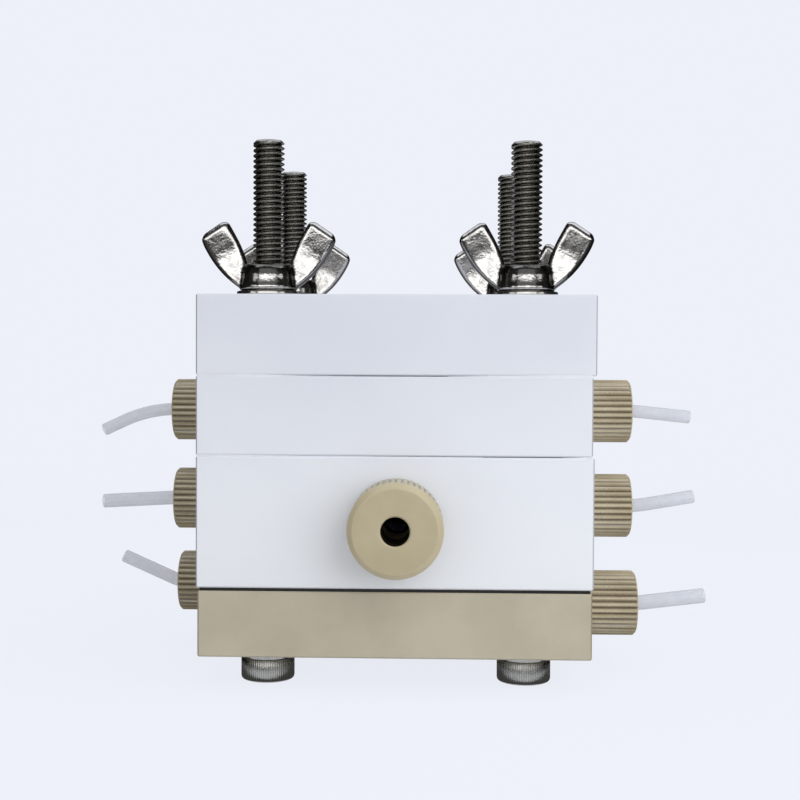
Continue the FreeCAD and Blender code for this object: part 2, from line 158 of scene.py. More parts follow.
def makePtfe(p):
    material, tree, mm = startMaterial("machinedPtfe")
    patches = addNode(tree, "ShaderNodeTexNoise", {"Scale": 1 / p["patchSize"], "Detail": 3}, {"Vector": mm})
    place = addNode(tree, "ShaderNodeSeparateXYZ", links={0: mm})
    # painted light and shade: lighter low down, darker higher up, mixed with the random patches
    start, end = p["shadeHeights"]
    height = addNode(tree, "ShaderNodeMapRange", {1: start, 2: end}, {0: place.outputs[2]})
    uneven = addNode(tree, "ShaderNodeMath", {1: 0.5}, {0: patches.outputs[0]}, operation="SUBTRACT")
    share = addNode(
        tree, "ShaderNodeMath", {1: p["patchShare"]}, {0: uneven.outputs[0], 2: height.outputs[0]},
        operation="MULTIPLY_ADD", use_clamp=True,
    )
    colour = addNode(
        tree, "ShaderNodeMix", {6: toLinear(p["low"]), 7: toLinear(p["high"])}, {0: share.outputs[0]},
        data_type="RGBA",
    )
    edged = addNode(
        tree, "ShaderNodeMix", {7: toLinear(p["edge"])}, {0: edgeShadeShare(tree, p["edgeShadeShare"]), 6: colour.outputs[2]},
        data_type="RGBA",
    )
    lines = addNode(
        tree, "ShaderNodeTexWave",
        {"Scale": bandScale(p["cutterStep"]), "Distortion": 1.2, "Detail": 2, "Detail Scale": 0.4},
        {"Vector": mm}, bands_direction="DIAGONAL",
    )
    grain = addNode(tree, "ShaderNodeTexNoise", {"Scale": 1 / p["grainSize"], "Detail": 4}, {"Vector": mm})
    surface = addNode(
        tree, "ShaderNodeMath", {1: p["cutterShare"]}, {0: lines.outputs[1], 2: grain.outputs[0]},
        operation="MULTIPLY_ADD",
    )
    bump = addNode(
        tree, "ShaderNodeBump", {"Strength": p["bump"], "Distance": p["bumpHeight"]}, {"Height": surface.outputs[0]},
    )
    least, most = p["roughness"]
    shine = addNode(tree, "ShaderNodeMapRange", {1: 0.3, 2: 0.7, 3: least, 4: most}, {0: grain.outputs[0]})
    shader = addNode(
        tree, "ShaderNodeBsdfPrincipled",
        {
            "IOR": p["ior"], "Subsurface Weight": p["lightInside"],
            "Subsurface Radius": p["lightColour"], "Subsurface Scale": p["lightReach"],
        },
        {"Base Color": edged.outputs[2], "Roughness": shine.outputs[0], "Normal": bump.outputs[0]},
    )
    addNode(tree, "ShaderNodeOutputMaterial", links={"Surface": shader.outputs[0]})
    return material


# PEEK: opaque beige, satin, in the three ways that it was machined here
peek = {
    "crest": "#ddd0b2",  # painted highlight on the rib crests and rims
    "groove": "#2f281b",  # dirt and painted shade low between the ribs and in the bores
    "edgeShadeColour": "#8a7257",  # painted shade on the broken edges of the plate
    "patchSize": 13.2,  # mm
    "grainSize": 0.35,  # mm
    "grainLines": 0.5,
    "bump": 0.12,
    "bumpHeight": 0.00004,  # m
    "ior": 1.65,
}
peekFinishes = {
    # "step": mm between the cutter's lines; the groove, crest and edge shares: how strongly the groove colour (dirt
    # and painted shade), the crest colour (painted highlight) and the edge colour (painted shade) show
    # plate: fine cutter lines, painted shade on the broken edges
    "milledPeek": {
        "light": "#c4bca7", "shade": "#b8b09b", "step": 0.5, "roughness": (0.33, 0.48),
        "dirtAndShade": 0.0, "crestHighlight": 0.0, "edge": 0.6, "gloss": 0.5,
    },
    # fittings: dirt and painted shade between the ribs, shiny crests with a pale painted highlight
    "knurledPeek": {
        "light": "#c4b698", "shade": "#aa9d80", "step": 0.3, "roughness": (0.15, 0.3),
        "dirtAndShade": 0.7, "crestHighlight": 0.55, "edge": 0.0, "gloss": 0.9,
    },
    # cap: finer ribs, dirt and painted shade down to the roots and in the bore
    "turnedPeek": {
        "light": "#bfb494", "shade": "#b1a585", "step": 0.3, "roughness": (0.31, 0.46),
        "dirtAndShade": 1.0, "crestHighlight": 0.3, "edge": 0.0, "gloss": 0.5,
    },
}


def makePeek(name):
    p = {**peek, **peekFinishes[name]}
    material, tree, mm = startMaterial(name)
    patches = addNode(
        tree, "ShaderNodeTexNoise", {"Scale": 1 / p["patchSize"], "Detail": 6, "Roughness": 0.6}, {"Vector": mm},
    )
    spread = addNode(tree, "ShaderNodeMapRange", {1: 0.35, 2: 0.65}, {0: patches.outputs[0]})
    colour = addNode(
        tree, "ShaderNodeMix", {6: toLinear(p["shade"]), 7: toLinear(p["light"])}, {0: spread.outputs[0]},
        data_type="RGBA",
    )
    # groove values: dirt and painted shade in the grooves and bores
    groove = addNode(tree, "ShaderNodeAttribute", attribute_name="groove")
    low = addNode(tree, "ShaderNodeMapRange", {1: 0.3, 2: 1.0, 3: 0.0, 4: p["dirtAndShade"]}, {0: groove.outputs["Fac"]})
    stainedAndShaded = addNode(
        tree, "ShaderNodeMix", {7: toLinear(p["groove"])}, {0: low.outputs[0], 6: colour.outputs[2]},
        data_type="RGBA",
    )
    # painted highlight: the crest colour where the groove value is near 0
    worn = addNode(tree, "ShaderNodeMapRange", {1: 0.0, 2: 0.16, 3: p["crestHighlight"], 4: 0.0}, {0: groove.outputs["Fac"]})
    finished = addNode(
        tree, "ShaderNodeMix", {7: toLinear(p["crest"])}, {0: worn.outputs[0], 6: stainedAndShaded.outputs[2]},
        data_type="RGBA",
    )
    if p["edge"]:
        finished = addNode(
            tree, "ShaderNodeMix", {7: toLinear(p["edgeShadeColour"])},
            {0: edgeShadeShare(tree, p["edge"]), 6: finished.outputs[2]}, data_type="RGBA",
        )
    lines = addNode(
        tree, "ShaderNodeTexWave", {"Scale": bandScale(p["step"]), "Distortion": 0.8, "Detail": 2},
        {"Vector": mm}, bands_direction="DIAGONAL",
    )
    grain = addNode(tree, "ShaderNodeTexNoise", {"Scale": 1 / p["grainSize"], "Detail": 3}, {"Vector": mm})
    surface = addNode(
        tree, "ShaderNodeMath", {1: p["grainLines"]}, {0: lines.outputs[1], 2: grain.outputs[0]},
        operation="MULTIPLY_ADD",
    )
    bump = addNode(
        tree, "ShaderNodeBump", {"Strength": p["bump"], "Distance": p["bumpHeight"]}, {"Height": surface.outputs[0]},
    )
    least, most = p["roughness"]
    shine = addNode(tree, "ShaderNodeMapRange", {1: 0.3, 2: 0.7, 3: least, 4: most}, {0: grain.outputs[0]})
    shader = addNode(
        tree, "ShaderNodeBsdfPrincipled", {"IOR": p["ior"], "Specular IOR Level": p["gloss"]},
        {"Base Color": finished.outputs[2], "Roughness": shine.outputs[0], "Normal": bump.outputs[0]},
    )
    addNode(tree, "ShaderNodeOutputMaterial", links={"Surface": shader.outputs[0]})
    return material


# metals: each is a base colour with its own skin of dents, streaks, and dark residue with painted shade
metals = {
    # "low": share of the residue colour in the grooves, as residue and painted shade; "patch" and "grain": mm;
    # "wave": how much the whole surface swells
    # socket screws, rolled thread: a darker copy of the head's steel as painted shade, with oily residue and painted
    # shade in the roots
    "screwSteelShaded": {
        "base": "#b0ada3", "residueAndShade": "#201e19", "low": 0.72, "patch": 0.9, "patchDark": 0.5,
        "roughness": (0.22, 0.4), "bump": 0.3, "grain": 0.3, "wave": 0.0,
    },
    # the same screws' heads and tips: the lighter copy of the same steel, as painted light
    "screwSteelLit": {
        "base": "#b4b3ae", "residueAndShade": "#2a2824", "low": 0.35, "patch": 1.4, "patchDark": 0.12,
        "roughness": (0.2, 0.34), "bump": 0.2, "grain": 0.35, "wave": 0.0,
    },
    # stainless steel, cast and tumbled: bright and wavy, with duller patches that keep some of the mould's skin; its
    # dark colour also paints the nut's dark reflection
    "castSteel": {
        "base": "#e2e0dd", "residueAndShade": "#3a3731", "low": 0.85, "patch": 1.3, "patchDark": 0.3,
        "roughness": (0.08, 0.22), "bump": 0.3, "grain": 0.4, "wave": 0.12,
    },
    # stainless washer, stamped from sheet and tumbled
    "stampedSteel": {
        "base": "#dcdad5", "residueAndShade": "#55514a", "low": 0.0, "patch": 2.5, "patchDark": 0.15,
        "roughness": (0.14, 0.24), "bump": 0.08, "grain": 0.5, "wave": 0.0,
    },
    # rolled titanium sheet of the contact tabs
    "rolledTitanium": {
        "base": "#a39f99", "residueAndShade": "#6e6a65", "low": 0.0, "patch": 4.0, "patchDark": 0.25,
        "roughness": (0.28, 0.42), "bump": 0.08, "grain": 0.2, "wave": 0.0,
    },
}
metalSwell = 3.5  # mm across each swelling of a wavy casting
patternGap = 37.0  # how far apart in the noise the pieces take their patterns


def makeMetal(name):
    p = metals[name]
    material, tree, mm = startMaterial(name)
    piece = addNode(tree, "ShaderNodeObjectInfo")
    seed = addNode(tree, "ShaderNodeMath", {1: patternGap}, {0: piece.outputs["Random"]}, operation="MULTIPLY")
    own = {"Vector": mm, "W": seed.outputs[0]}  # each piece gets its own pattern
    patches = addNode(
        tree, "ShaderNodeTexNoise", {"Scale": 1 / p["patch"], "Detail": 6, "Roughness": 0.65}, own,
        noise_dimensions="4D",
    )
    dull = addNode(tree, "ShaderNodeMapRange", {1: 0.5, 2: 0.66, 3: 0.0, 4: p["patchDark"]}, {0: patches.outputs[0]})
    colour = addNode(
        tree, "ShaderNodeMix", {6: toLinear(p["base"]), 7: toLinear(p["residueAndShade"])}, {0: dull.outputs[0]},
        data_type="RGBA",
    )
    # groove values: residue and painted shade; on the nut, painted dark reflection
    groove = addNode(tree, "ShaderNodeAttribute", attribute_name="groove")
    low = addNode(tree, "ShaderNodeMapRange", {1: 0.15, 2: 0.8, 3: 0.0, 4: p["low"]}, {0: groove.outputs["Fac"]})
    stainedAndShaded = addNode(
        tree, "ShaderNodeMix", {7: toLinear(p["residueAndShade"])}, {0: low.outputs[0], 6: colour.outputs[2]},
        data_type="RGBA",
    )
    least, most = p["roughness"]
    shine = addNode(tree, "ShaderNodeMapRange", {1: 0.42, 2: 0.66, 3: least, 4: most}, {0: patches.outputs[0]})
    grain = addNode(tree, "ShaderNodeTexNoise", {"Scale": 1 / p["grain"], "Detail": 4}, own, noise_dimensions="4D")
    swell = addNode(tree, "ShaderNodeTexNoise", {"Scale": 1 / metalSwell, "Detail": 1}, own, noise_dimensions="4D")
    wavy = addNode(tree, "ShaderNodeBump", {"Strength": p["wave"], "Distance": 0.001}, {"Height": swell.outputs[0]})
    bump = addNode(
        tree, "ShaderNodeBump", {"Strength": p["bump"], "Distance": 0.0001},
        {"Height": grain.outputs[0], "Normal": wavy.outputs[0]},
    )
    shader = addNode(
        tree, "ShaderNodeBsdfPrincipled", {"Metallic": 1.0},
        {"Base Color": stainedAndShaded.outputs[2], "Roughness": shine.outputs[0], "Normal": bump.outputs[0]},
    )
    addNode(tree, "ShaderNodeOutputMaterial", links={"Surface": shader.outputs[0]})
    return material


# sheets and small parts: two colours, the size of the pattern between them in mm, and the finish
softParts = {
    # black rubber gasket and O-ring, pressed: matt with a fine bloom
    "blackRubber": {
        "dark": "#0e0d0c", "light": "#1d1b19", "size": 0.6, "roughness": 0.62, "ior": 1.52, "transmission": 0.0,
    },
    # clear silicone sheet, calendered: its grey is painted shade, for its cut edge deep in the joint
    "shadedClearSilicone": {
        "dark": "#74777e", "light": "#82858c", "size": 1.5, "roughness": 0.45, "ior": 1.41, "transmission": 0.25,
    },
    # ion exchange membrane, cast film: pale amber
    "membraneFilm": {
        "dark": "#d8c9a2", "light": "#e3d7b5", "size": 5.0, "roughness": 0.35, "ior": 1.38, "transmission": 0.2,
    },
    # carbon fibre paper of the gas electrode: matt, fibres a few hundredths of a mm, drawn coarser
    "carbonPaper": {
        "dark": "#121212", "light": "#2b2b2c", "size": 0.12, "roughness": 0.8, "ior": 1.5, "transmission": 0.0,
    },
    # silicone where it is squeezed into the joints: white
    "squeezedSilicone": {
        "dark": "#e4e7f0", "light": "#e9ecf4", "size": 1.5, "roughness": 0.45, "ior": 1.41, "transmission": 0.0,
    },
    # ferrules and compression ring, moulded: milky satin
    "mouldedPlastic": {
        "dark": "#d3d0c6", "light": "#dedbd2", "size": 3.0, "roughness": 0.4, "ior": 1.48, "transmission": 0.0,
    },
    # PTFE tube, extruded: milky, part of the light goes straight through the wall; the bore hides almost nothing
    "extrudedTube": {
        "dark": "#d5d9e4", "light": "#dde1ec", "size": 2.4, "roughness": 0.4, "ior": 1.35, "transmission": 0.0,
        "wallCover": 0.46, "boreCover": 0.06,
    },
}


def makeSoft(name):
    p = softParts[name]
    material, tree, mm = startMaterial(name)
    pattern = addNode(tree, "ShaderNodeTexNoise", {"Scale": 1 / p["size"], "Detail": 4}, {"Vector": mm})
    spread = addNode(tree, "ShaderNodeMapRange", {1: 0.35, 2: 0.65}, {0: pattern.outputs[0]})
    colour = addNode(
        tree, "ShaderNodeMix", {6: toLinear(p["dark"]), 7: toLinear(p["light"])}, {0: spread.outputs[0]},
        data_type="RGBA",
    )
    shine = addNode(
        tree, "ShaderNodeMapRange", {1: 0.3, 2: 0.7, 3: p["roughness"] - 0.05, 4: p["roughness"] + 0.07},
        {0: pattern.outputs[0]},
    )
    bump = addNode(tree, "ShaderNodeBump", {"Strength": 0.1, "Distance": 0.00005}, {"Height": pattern.outputs[0]})
    shader = addNode(
        tree, "ShaderNodeBsdfPrincipled", {"IOR": p["ior"], "Transmission Weight": p["transmission"]},
        {"Base Color": colour.outputs[2], "Roughness": shine.outputs[0], "Normal": bump.outputs[0]},
    )
    if "wallCover" in p:
        bore = addNode(tree, "ShaderNodeAttribute", attribute_name="groove")
        cover = addNode(
            tree, "ShaderNodeMapRange", {3: p["wallCover"], 4: p["boreCover"]}, {0: bore.outputs["Fac"]},
        )
        tree.links.new(cover.outputs[0], shader.inputs["Alpha"])
    addNode(tree, "ShaderNodeOutputMaterial", links={"Surface": shader.outputs[0]})
    return material


machinedPtfe = makePtfe(ptfe)
milledPeek, knurledPeek, turnedPeek = [makePeek(name) for name in peekFinishes]
screwSteelShaded, screwSteelLit, castSteel, stampedSteel, rolledTitanium = [makeMetal(name) for name in metals]
softMaterials = {name: makeSoft(name) for name in softParts}
print("materials made")


# meshes are built in millimetres as shells of rings, with a groove value at each point for the dirt and painted
# shade; on the tubes it marks the bore
def newShell():
    return {"points": [], "faces": [], "groove": []}


def addRings(shell, rings, loop=False):  # each ring is a list of (point, groove); a loop's last ring meets its first
    start, count, total = len(shell["points"]), len(rings[0]), len(rings)
    for ring in rings:
        for point, groove in ring:
            shell["points"].append(point)
            shell["groove"].append(groove)
    for number in range(total if loop else total - 1):
        low = start + number * count
        high = start + (number + 1) % total * count
        for k in range(count):
            after = (k + 1) % count
            shell["faces"].append((low + k, low + after, high + after, high + k))
    if not loop:
        last = start + (total - 1) * count
        shell["faces"].append(tuple(start + k for k in reversed(range(count))))
        shell["faces"].append(tuple(last + k for k in range(count)))


def around(radius, height, angle):
    return (radius * math.cos(angle), radius * math.sin(angle), height)


def plainRing(radius, height, count, groove=0.0):
    return [(around(radius, height, 2 * math.pi * k / count), groove) for k in range(count)]


def makeMesh(name, shell, sharpAngle=40):
    mesh = bpy.data.meshes.new(name)
    mesh.from_pydata([Vector(p) / 1000 for p in shell["points"]], [], shell["faces"])
    mesh.attributes.new("groove", "FLOAT", "POINT").data.foreach_set("value", shell["groove"])
    mesh.shade_smooth()
    mesh.set_sharp_from_angle(angle=math.radians(sharpAngle))
    return mesh


def showMesh(name, mesh):
    shown = bpy.data.objects.new(name, mesh)
    bpy.context.scene.collection.objects.link(shown)
    return shown


def addPiece(name, mesh, node, material, place=Matrix.Identity(4)):
    piece = showMesh(name, mesh)
    piece.matrix_world = place
    if not mesh.materials:
        mesh.materials.append(material)
    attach(piece, bodyOf[node])
    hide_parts(node)


def middleOf(node):
    low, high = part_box(node)
    return (low + high) / 2


def facing(direction, place):  # puts a mesh built along +Z so that it points in this direction
    turn = Vector((0, 0, 1)).rotation_difference(Vector(direction)).to_matrix().to_4x4()
    return Matrix.Translation(place) @ turn


# one turn of a thread: (share of the pitch, rise from root to crest)
threadProfile = [
    (0.0, 0.06), (0.03, 0.0), (0.11, 0.0), (0.14, 0.06),
    (0.43, 0.93), (0.48, 1.0), (0.645, 1.0), (0.695, 0.93),
]
threadRunOut = 1.5  # turns over which it fades at the bottom
threadTipFade = 0.2  # mm over which it fades at the tip


# outside thread as one helical strip, with its ends closed flat
def addThread(shell, t):
    count, pitch = t["perTurn"], t["pitch"]
    rows = count * (math.ceil((t["top"] - t["bottom"]) / pitch) + 2)
    crest = t["diameter"] / 2
    tip = crest - t["tipChamfer"]
    index = {}

    def ringPoint(k, radius, height):
        key = (k % count, height)
        if key not in index:
            index[key] = len(shell["points"])
            shell["points"].append(around(radius, height, 2 * math.pi * k / count))
            shell["groove"].append(0.0)
        return index[key]

    def helixPoint(row, column):
        if column == len(threadProfile):
            row, column = row + count, 0
        share, rise = threadProfile[column]
        height = t["bottom"] + pitch * (row / count - 1 + share)
        if height >= t["top"]:
            return ringPoint(row, tip, t["top"])
        if height <= t["bottom"]:
            return ringPoint(row, crest, t["bottom"])
        if (row, column) not in index:
            tipFade = max(0, t["top"] - t["tipLength"] - t["plainTip"] - height) / threadTipFade
            fade = min(1, (height - t["bottom"]) / (threadRunOut * pitch), tipFade)
            depth = t["depth"] * (1 - rise) * fade
            radius = min(crest - depth, tip + (t["top"] - height) * t["tipChamfer"] / t["tipLength"])
            index[(row, column)] = len(shell["points"])
            shell["points"].append(around(radius, height, 2 * math.pi * row / count))
            # groove value: residue and painted shade in the thread roots
            shell["groove"].append((1 - rise) * fade)
        return index[(row, column)]

    for row in range(rows):
        for column in range(len(threadProfile)):
            quad = [helixPoint(row, column), helixPoint(row + 1, column)]
            quad += [helixPoint(row + 1, column + 1), helixPoint(row, column + 1)]
            face = [p for n, p in enumerate(quad) if p != quad[n - 1]]
            if len(set(face)) > 2:
                shell["faces"].append(tuple(face))
    topRing = [ringPoint(k, tip, t["top"]) for k in range(count)]
    bottomRing = [ringPoint(k, crest, t["bottom"]) for k in range(count)]
    return bottomRing, topRing


def bridge(shell, ring, nextRing):  # joins a ring of point numbers to new points
    start, count = len(shell["points"]), len(ring)
    for point, groove in nextRing:
        shell["points"].append(point)
        shell["groove"].append(groove)
    for k in range(count):
        after = (k + 1) % count
        shell["faces"].append((ring[k], ring[after], start + after, start + k))
    return list(range(start, start + count))


# clamp screw, head down: knurled head with a hexagon socket, plain shank, rolled thread
screw = {
    "thread": 5.95,
    "pitch": 1.0,
    "threadDepth": 0.6,
    "threadLength": 33.0,
    "threadSteps": 40,  # points in each turn
    "tipChamfer": 0.5,
    "tipLength": 0.5,
    "plainTip": 0.12,
    "tipHighlight": 0.85,  # height of the tip painted as bright as the head: a painted highlight
    "headDiameter": 10.2,
    "headHeight": 6.5,
    "knurlRibs": 72,
    "knurlDepth": 0.07,
    "socketWidth": 5.0,
    "socketDepth": 3.0,
    # painted shade inside the hexagon socket
    "socketShade": 0.6,
    # (height, inset, share of the knurl): rounded foot, knurl, dark step, smooth collar
    "headSection": [
        (0.0, 0.85, 0), (0.06, 0.55, 0), (0.2, 0.28, 0.2), (0.45, 0.08, 0.7), (0.8, 0.0, 1), (4.3, 0.0, 1),
        (4.42, 0.1, 0.7), (4.48, 0.34, 0), (4.66, 0.34, 0), (4.72, 0.2, 0), (6.2, 0.18, 0), (6.4, 0.28, 0),
        (6.5, 0.45, 0),
    ],
}


def makeScrew(s, length):
    shell = newShell()
    count = s["knurlRibs"] * 4
    crest = s["headDiameter"] / 2

    def headRing(height, inset, knurl):
        ring = []
        for k in range(count):
            # the knurl's grooves take residue and painted shade
            cut = knurl * (0.0, 0.5, 1.0, 0.5)[k % 4]
            radius = crest - inset - s["knurlDepth"] * cut
            ring.append((around(radius, height, 2 * math.pi * k / count), cut))
        return ring

    def socketRing(height):
        ring = []
        for k in range(count):
            angle = 2 * math.pi * k / count
            offFlat = (angle + math.pi / 6) % (math.pi / 3) - math.pi / 6
            radius = s["socketWidth"] / 2 / math.cos(offFlat)
            ring.append((around(radius, height, angle), s["socketShade"]))
        return ring

    addRings(shell, [socketRing(s["socketDepth"]), socketRing(0.0)] + [headRing(*part) for part in s["headSection"]])
    thread = {
        "perTurn": s["threadSteps"],
        "pitch": s["pitch"],
        "diameter": s["thread"],
        "depth": s["threadDepth"],
        "tipChamfer": s["tipChamfer"],
        "tipLength": s["tipLength"],
        "plainTip": s["plainTip"],
        "top": length,
        "bottom": length - s["threadLength"],
    }
    bottomRing, topRing = addThread(shell, thread)
    shell["faces"].append(tuple(topRing))
    shankFoot = plainRing(s["thread"] / 2, s["headHeight"] - 0.5, s["threadSteps"])  # it ends inside the head
    foot = bridge(shell, list(reversed(bottomRing)), list(reversed(shankFoot)))
    shell["faces"].append(tuple(foot))
    mesh = makeMesh("clampScrew", shell)
    mesh.materials.append(screwSteelShaded)
    mesh.materials.append(screwSteelLit)
    # the head and the tip take the lighter copy of the steel: painted light
    for face in mesh.polygons:
        height = face.center.z * 1000
        if height < s["headHeight"] or height > length - s["tipHighlight"]:
            face.material_index = 1
    return mesh


for corner in corners:
    node = "clamp_screw_" + corner
    middle = middleOf(node)
    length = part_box(node)[1].z * 1000
    place = Matrix.Translation((middle.x, middle.y, 0))
    addPiece("clampScrew_" + corner, makeScrew(screw, length), node, screwSteelShaded, place)
print("clamp screws made")


# washer: stamped ring, its edges rounded over on top and sharper below
washer = {"bore": 6.4, "diameter": 12.1, "thickness": 1.0, "rounding": 0.18, "steps": 96}


def makeWasher(w):
    inner, outer, top, r = w["bore"] / 2, w["diameter"] / 2, w["thickness"], w["rounding"]
    section = [(inner, 0.05), (inner + 0.05, 0), (outer - r, 0)]
    section += [(outer - r * 0.6, 0.04), (outer - r * 0.3, r * 0.3), (outer - 0.02, r)]
    section += [(outer, top / 2), (outer - 0.02, top - r), (outer - r * 0.3, top - r * 0.3)]
    section += [(outer - r, top), (inner + r, top), (inner + r * 0.3, top - r * 0.3), (inner, top - r)]
    shell = newShell()
    addRings(shell, [plainRing(radius, height, w["steps"]) for radius, height in section], loop=True)
    return makeMesh("washer", shell)


# wing nut: cast hub and two curved wings, grown together like the casting
wingNut = {
    "hub": [  # (radius, height)
        (3.25, 0.0), (5.1, 0.0), (5.45, 0.3), (5.5, 0.9), (5.3, 1.5), (5.2, 2.2),
        (5.12, 3.2), (4.85, 4.2), (4.4, 4.9), (3.9, 5.1), (3.1, 4.6), (3.1, 0.15),
    ],
    "hubSteps": 96,
    # edges of a wing: (distance from the axis, height)
    "innerEdge": [(3.5, 0.2), (3.6, 2.4), (3.9, 4.6), (4.45, 6.6), (5.45, 9.0), (6.6, 11.15), (7.75, 13.15)],
    "outerEdge": [(5.0, 0.2), (6.9, 1.6), (8.6, 3.1), (10.1, 4.8), (11.2, 6.4), (12.2, 8.2), (12.8, 9.7)],
    "thickness": [  # (half of it, share of the wing)
        (1.5, 0.0), (1.34, 0.15), (1.16, 0.32), (1.04, 0.45), (1.0, 0.56),
        (1.08, 0.67), (1.28, 0.8), (1.5, 0.95), (1.5, 1.0),
    ],
    "wingSteps": 28,
    "wingEnd": [(0.1, 0.05), (0.4, 0.35), (0.8, 0.6), (1.1, 0.7)],  # (how much it shrinks, how far on)
    "rimRadius": 0.95,
    "voxel": 0.19,
    "smoothing": 5,
    "turns": {"front_left": 0, "front_right": -8, "rear_left": 6, "rear_right": -6},  # degrees from the X axis
}
# painted dark reflection on the cast nut: darker where a face turns sideways, away from the front and back; tilts are
# in degrees from there
nutSideShade = {
    "hubReach": (5.6, 5.2),  # radius and height of the hub
    "hubStart": 40,
    "hubWidth": 28,  # from the first trace to full
    "ragged": 14,  # how far the edge of the painted dark on the hub wanders
    "raggedScale": 0.7,  # per mm
    "hubClimb": 9,  # less tilt for each mm above the foot
    "foot": 2.2,
    "wingStart": 19,
    "wingWidth": 25,
    "cleanEnd": 0.6,  # the wing's upper end stays bright where its normal points up more than this
    "cleanFade": 0.14,
}


def smoothThrough(points, share):  # a smooth curve through the points
    place = share * (len(points) - 1)
    number = min(int(place), len(points) - 2)
    t = place - number
    p0, p1 = points[max(number - 1, 0)], points[number]
    p2, p3 = points[number + 1], points[min(number + 2, len(points) - 1)]
    return [
        0.5 * (2 * b + (c - a) * t + (2 * a - 5 * b + 4 * c - d) * t * t + (3 * b - a - 3 * c + d) * t ** 3)
        for a, b, c, d in zip(p0, p1, p2, p3)
    ]


def between(points, share):  # a value between listed (value, share) points
    for (low, start), (high, end) in zip(points, points[1:]):
        if share <= end:
            t = (share - start) / (end - start)
            return low + (high - low) * t
    return points[-1][0]


def sideShadeAt(k, place, normal):  # how much painted dark reflection the casting gets at a point
    x, y, z = place
    tilt = math.degrees(math.acos(min(1, abs(normal.y))))
    if math.hypot(x, y) < k["hubReach"][0] and z < k["hubReach"][1]:
        ragged = noise.noise(Vector((x, y, z)) * k["raggedScale"]) * k["ragged"]
        start = k["hubStart"] + ragged - k["hubClimb"] * max(0, z - k["foot"])
        return min(1, max(0, (tilt - start) / k["hubWidth"]))
    dark = min(1, max(0, (tilt - k["wingStart"]) / k["wingWidth"]))
    return dark * min(1, max(0, (k["cleanEnd"] - normal.z) / k["cleanFade"]))


def makeWingNut(w):
    shell = newShell()
    hub = w["hub"][1:] + w["hub"][:1]
    addRings(shell, [plainRing(radius, height, w["hubSteps"]) for radius, height in hub], loop=True)

    def bladeRing(share, shrink=0.0, lift=0.0):
        inner = Vector(smoothThrough(w["innerEdge"], share))
        outer = Vector(smoothThrough(w["outerEdge"], share))
        across = (outer - inner).normalized()
        along = Vector((-across.y, across.x))
        middle = (inner + outer) / 2 + along * lift
        half = (outer - inner).length / 2 - shrink
        thick = between(w["thickness"], share) - shrink
        r = min(w["rimRadius"], thick * 0.95, half * 0.95)
        ring = []
        for side, face in ((1, 1), (-1, 1), (-1, -1), (1, -1)):
            for part in range(6):
                angle = math.pi / 2 * part / 5
                if side * face < 0:
                    angle = math.pi / 2 - angle
                u = side * (half - r + r * math.cos(angle))
                y = face * (thick - r + r * math.sin(angle))
                point = middle + across * u
                ring.append(((point.x, y, point.y), 0.0))
        return ring

    rings = [bladeRing(k / w["wingSteps"]) for k in range(w["wingSteps"])]
    rings += [bladeRing(1, shrink, lift) for shrink, lift in w["wingEnd"]]
    for sign in (1, -1):
        turned = [[((p[0] * sign, p[1] * sign, p[2]), g) for p, g in ring] for ring in rings]
        addRings(shell, [list(reversed(ring)) for ring in turned])
    rough = showMesh("nutBlank", makeMesh("nutBlank", shell))
    grown = rough.modifiers.new("grown", "REMESH")
    grown.mode = "VOXEL"
    grown.voxel_size = w["voxel"] / 1000
    softened = rough.modifiers.new("softened", "SMOOTH")
    softened.factor = 0.5
    softened.iterations = w["smoothing"]
    cast = bpy.data.meshes.new_from_object(rough.evaluated_get(bpy.context.evaluated_depsgraph_get()))
    bpy.data.objects.remove(rough)
    # painted dark reflection, carried in the groove values
    sideShade = [sideShadeAt(nutSideShade, vertex.co * 1000, vertex.normal) for vertex in cast.vertices]
    cast.attributes.new("groove", "FLOAT", "POINT").data.foreach_set("value", sideShade)
    cast.name = "wingNut"
    cast.shade_smooth()
    return cast


washerMesh = makeWasher(washer)
nutMesh = makeWingNut(wingNut)
for corner in corners:
    node = "washer_" + corner
    low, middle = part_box(node)[0], middleOf(node)
    place = Matrix.Translation((middle.x, middle.y, low.z))
    addPiece(node + "_turned", washerMesh, node, stampedSteel, place)
    node = "wing_nut_" + corner
    low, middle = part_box(node)[0], middleOf(node)
    turn = Matrix.Rotation(math.radians(wingNut["turns"][corner]), 4, "Z")
    place = Matrix.Translation((middle.x, middle.y, low.z)) @ turn
    addPiece("wingNut_" + corner, nutMesh, node, castSteel, place)
print("washers and wing nuts made:", len(nutMesh.polygons), "faces each nut")


# knurled knobs: fittings on the sides, cap in front
ribSteps = 8  # points for each rib
ribWear = (0.78, 0.44)  # least depth of a groove, and how much it varies from rib to rib


def wearOf(rib):  # the same scattered number for a rib in every run
    return ribWear[0] + ribWear[1] * (math.sin(12.9898 * (rib + 1)) * 43758.5453 % 1)


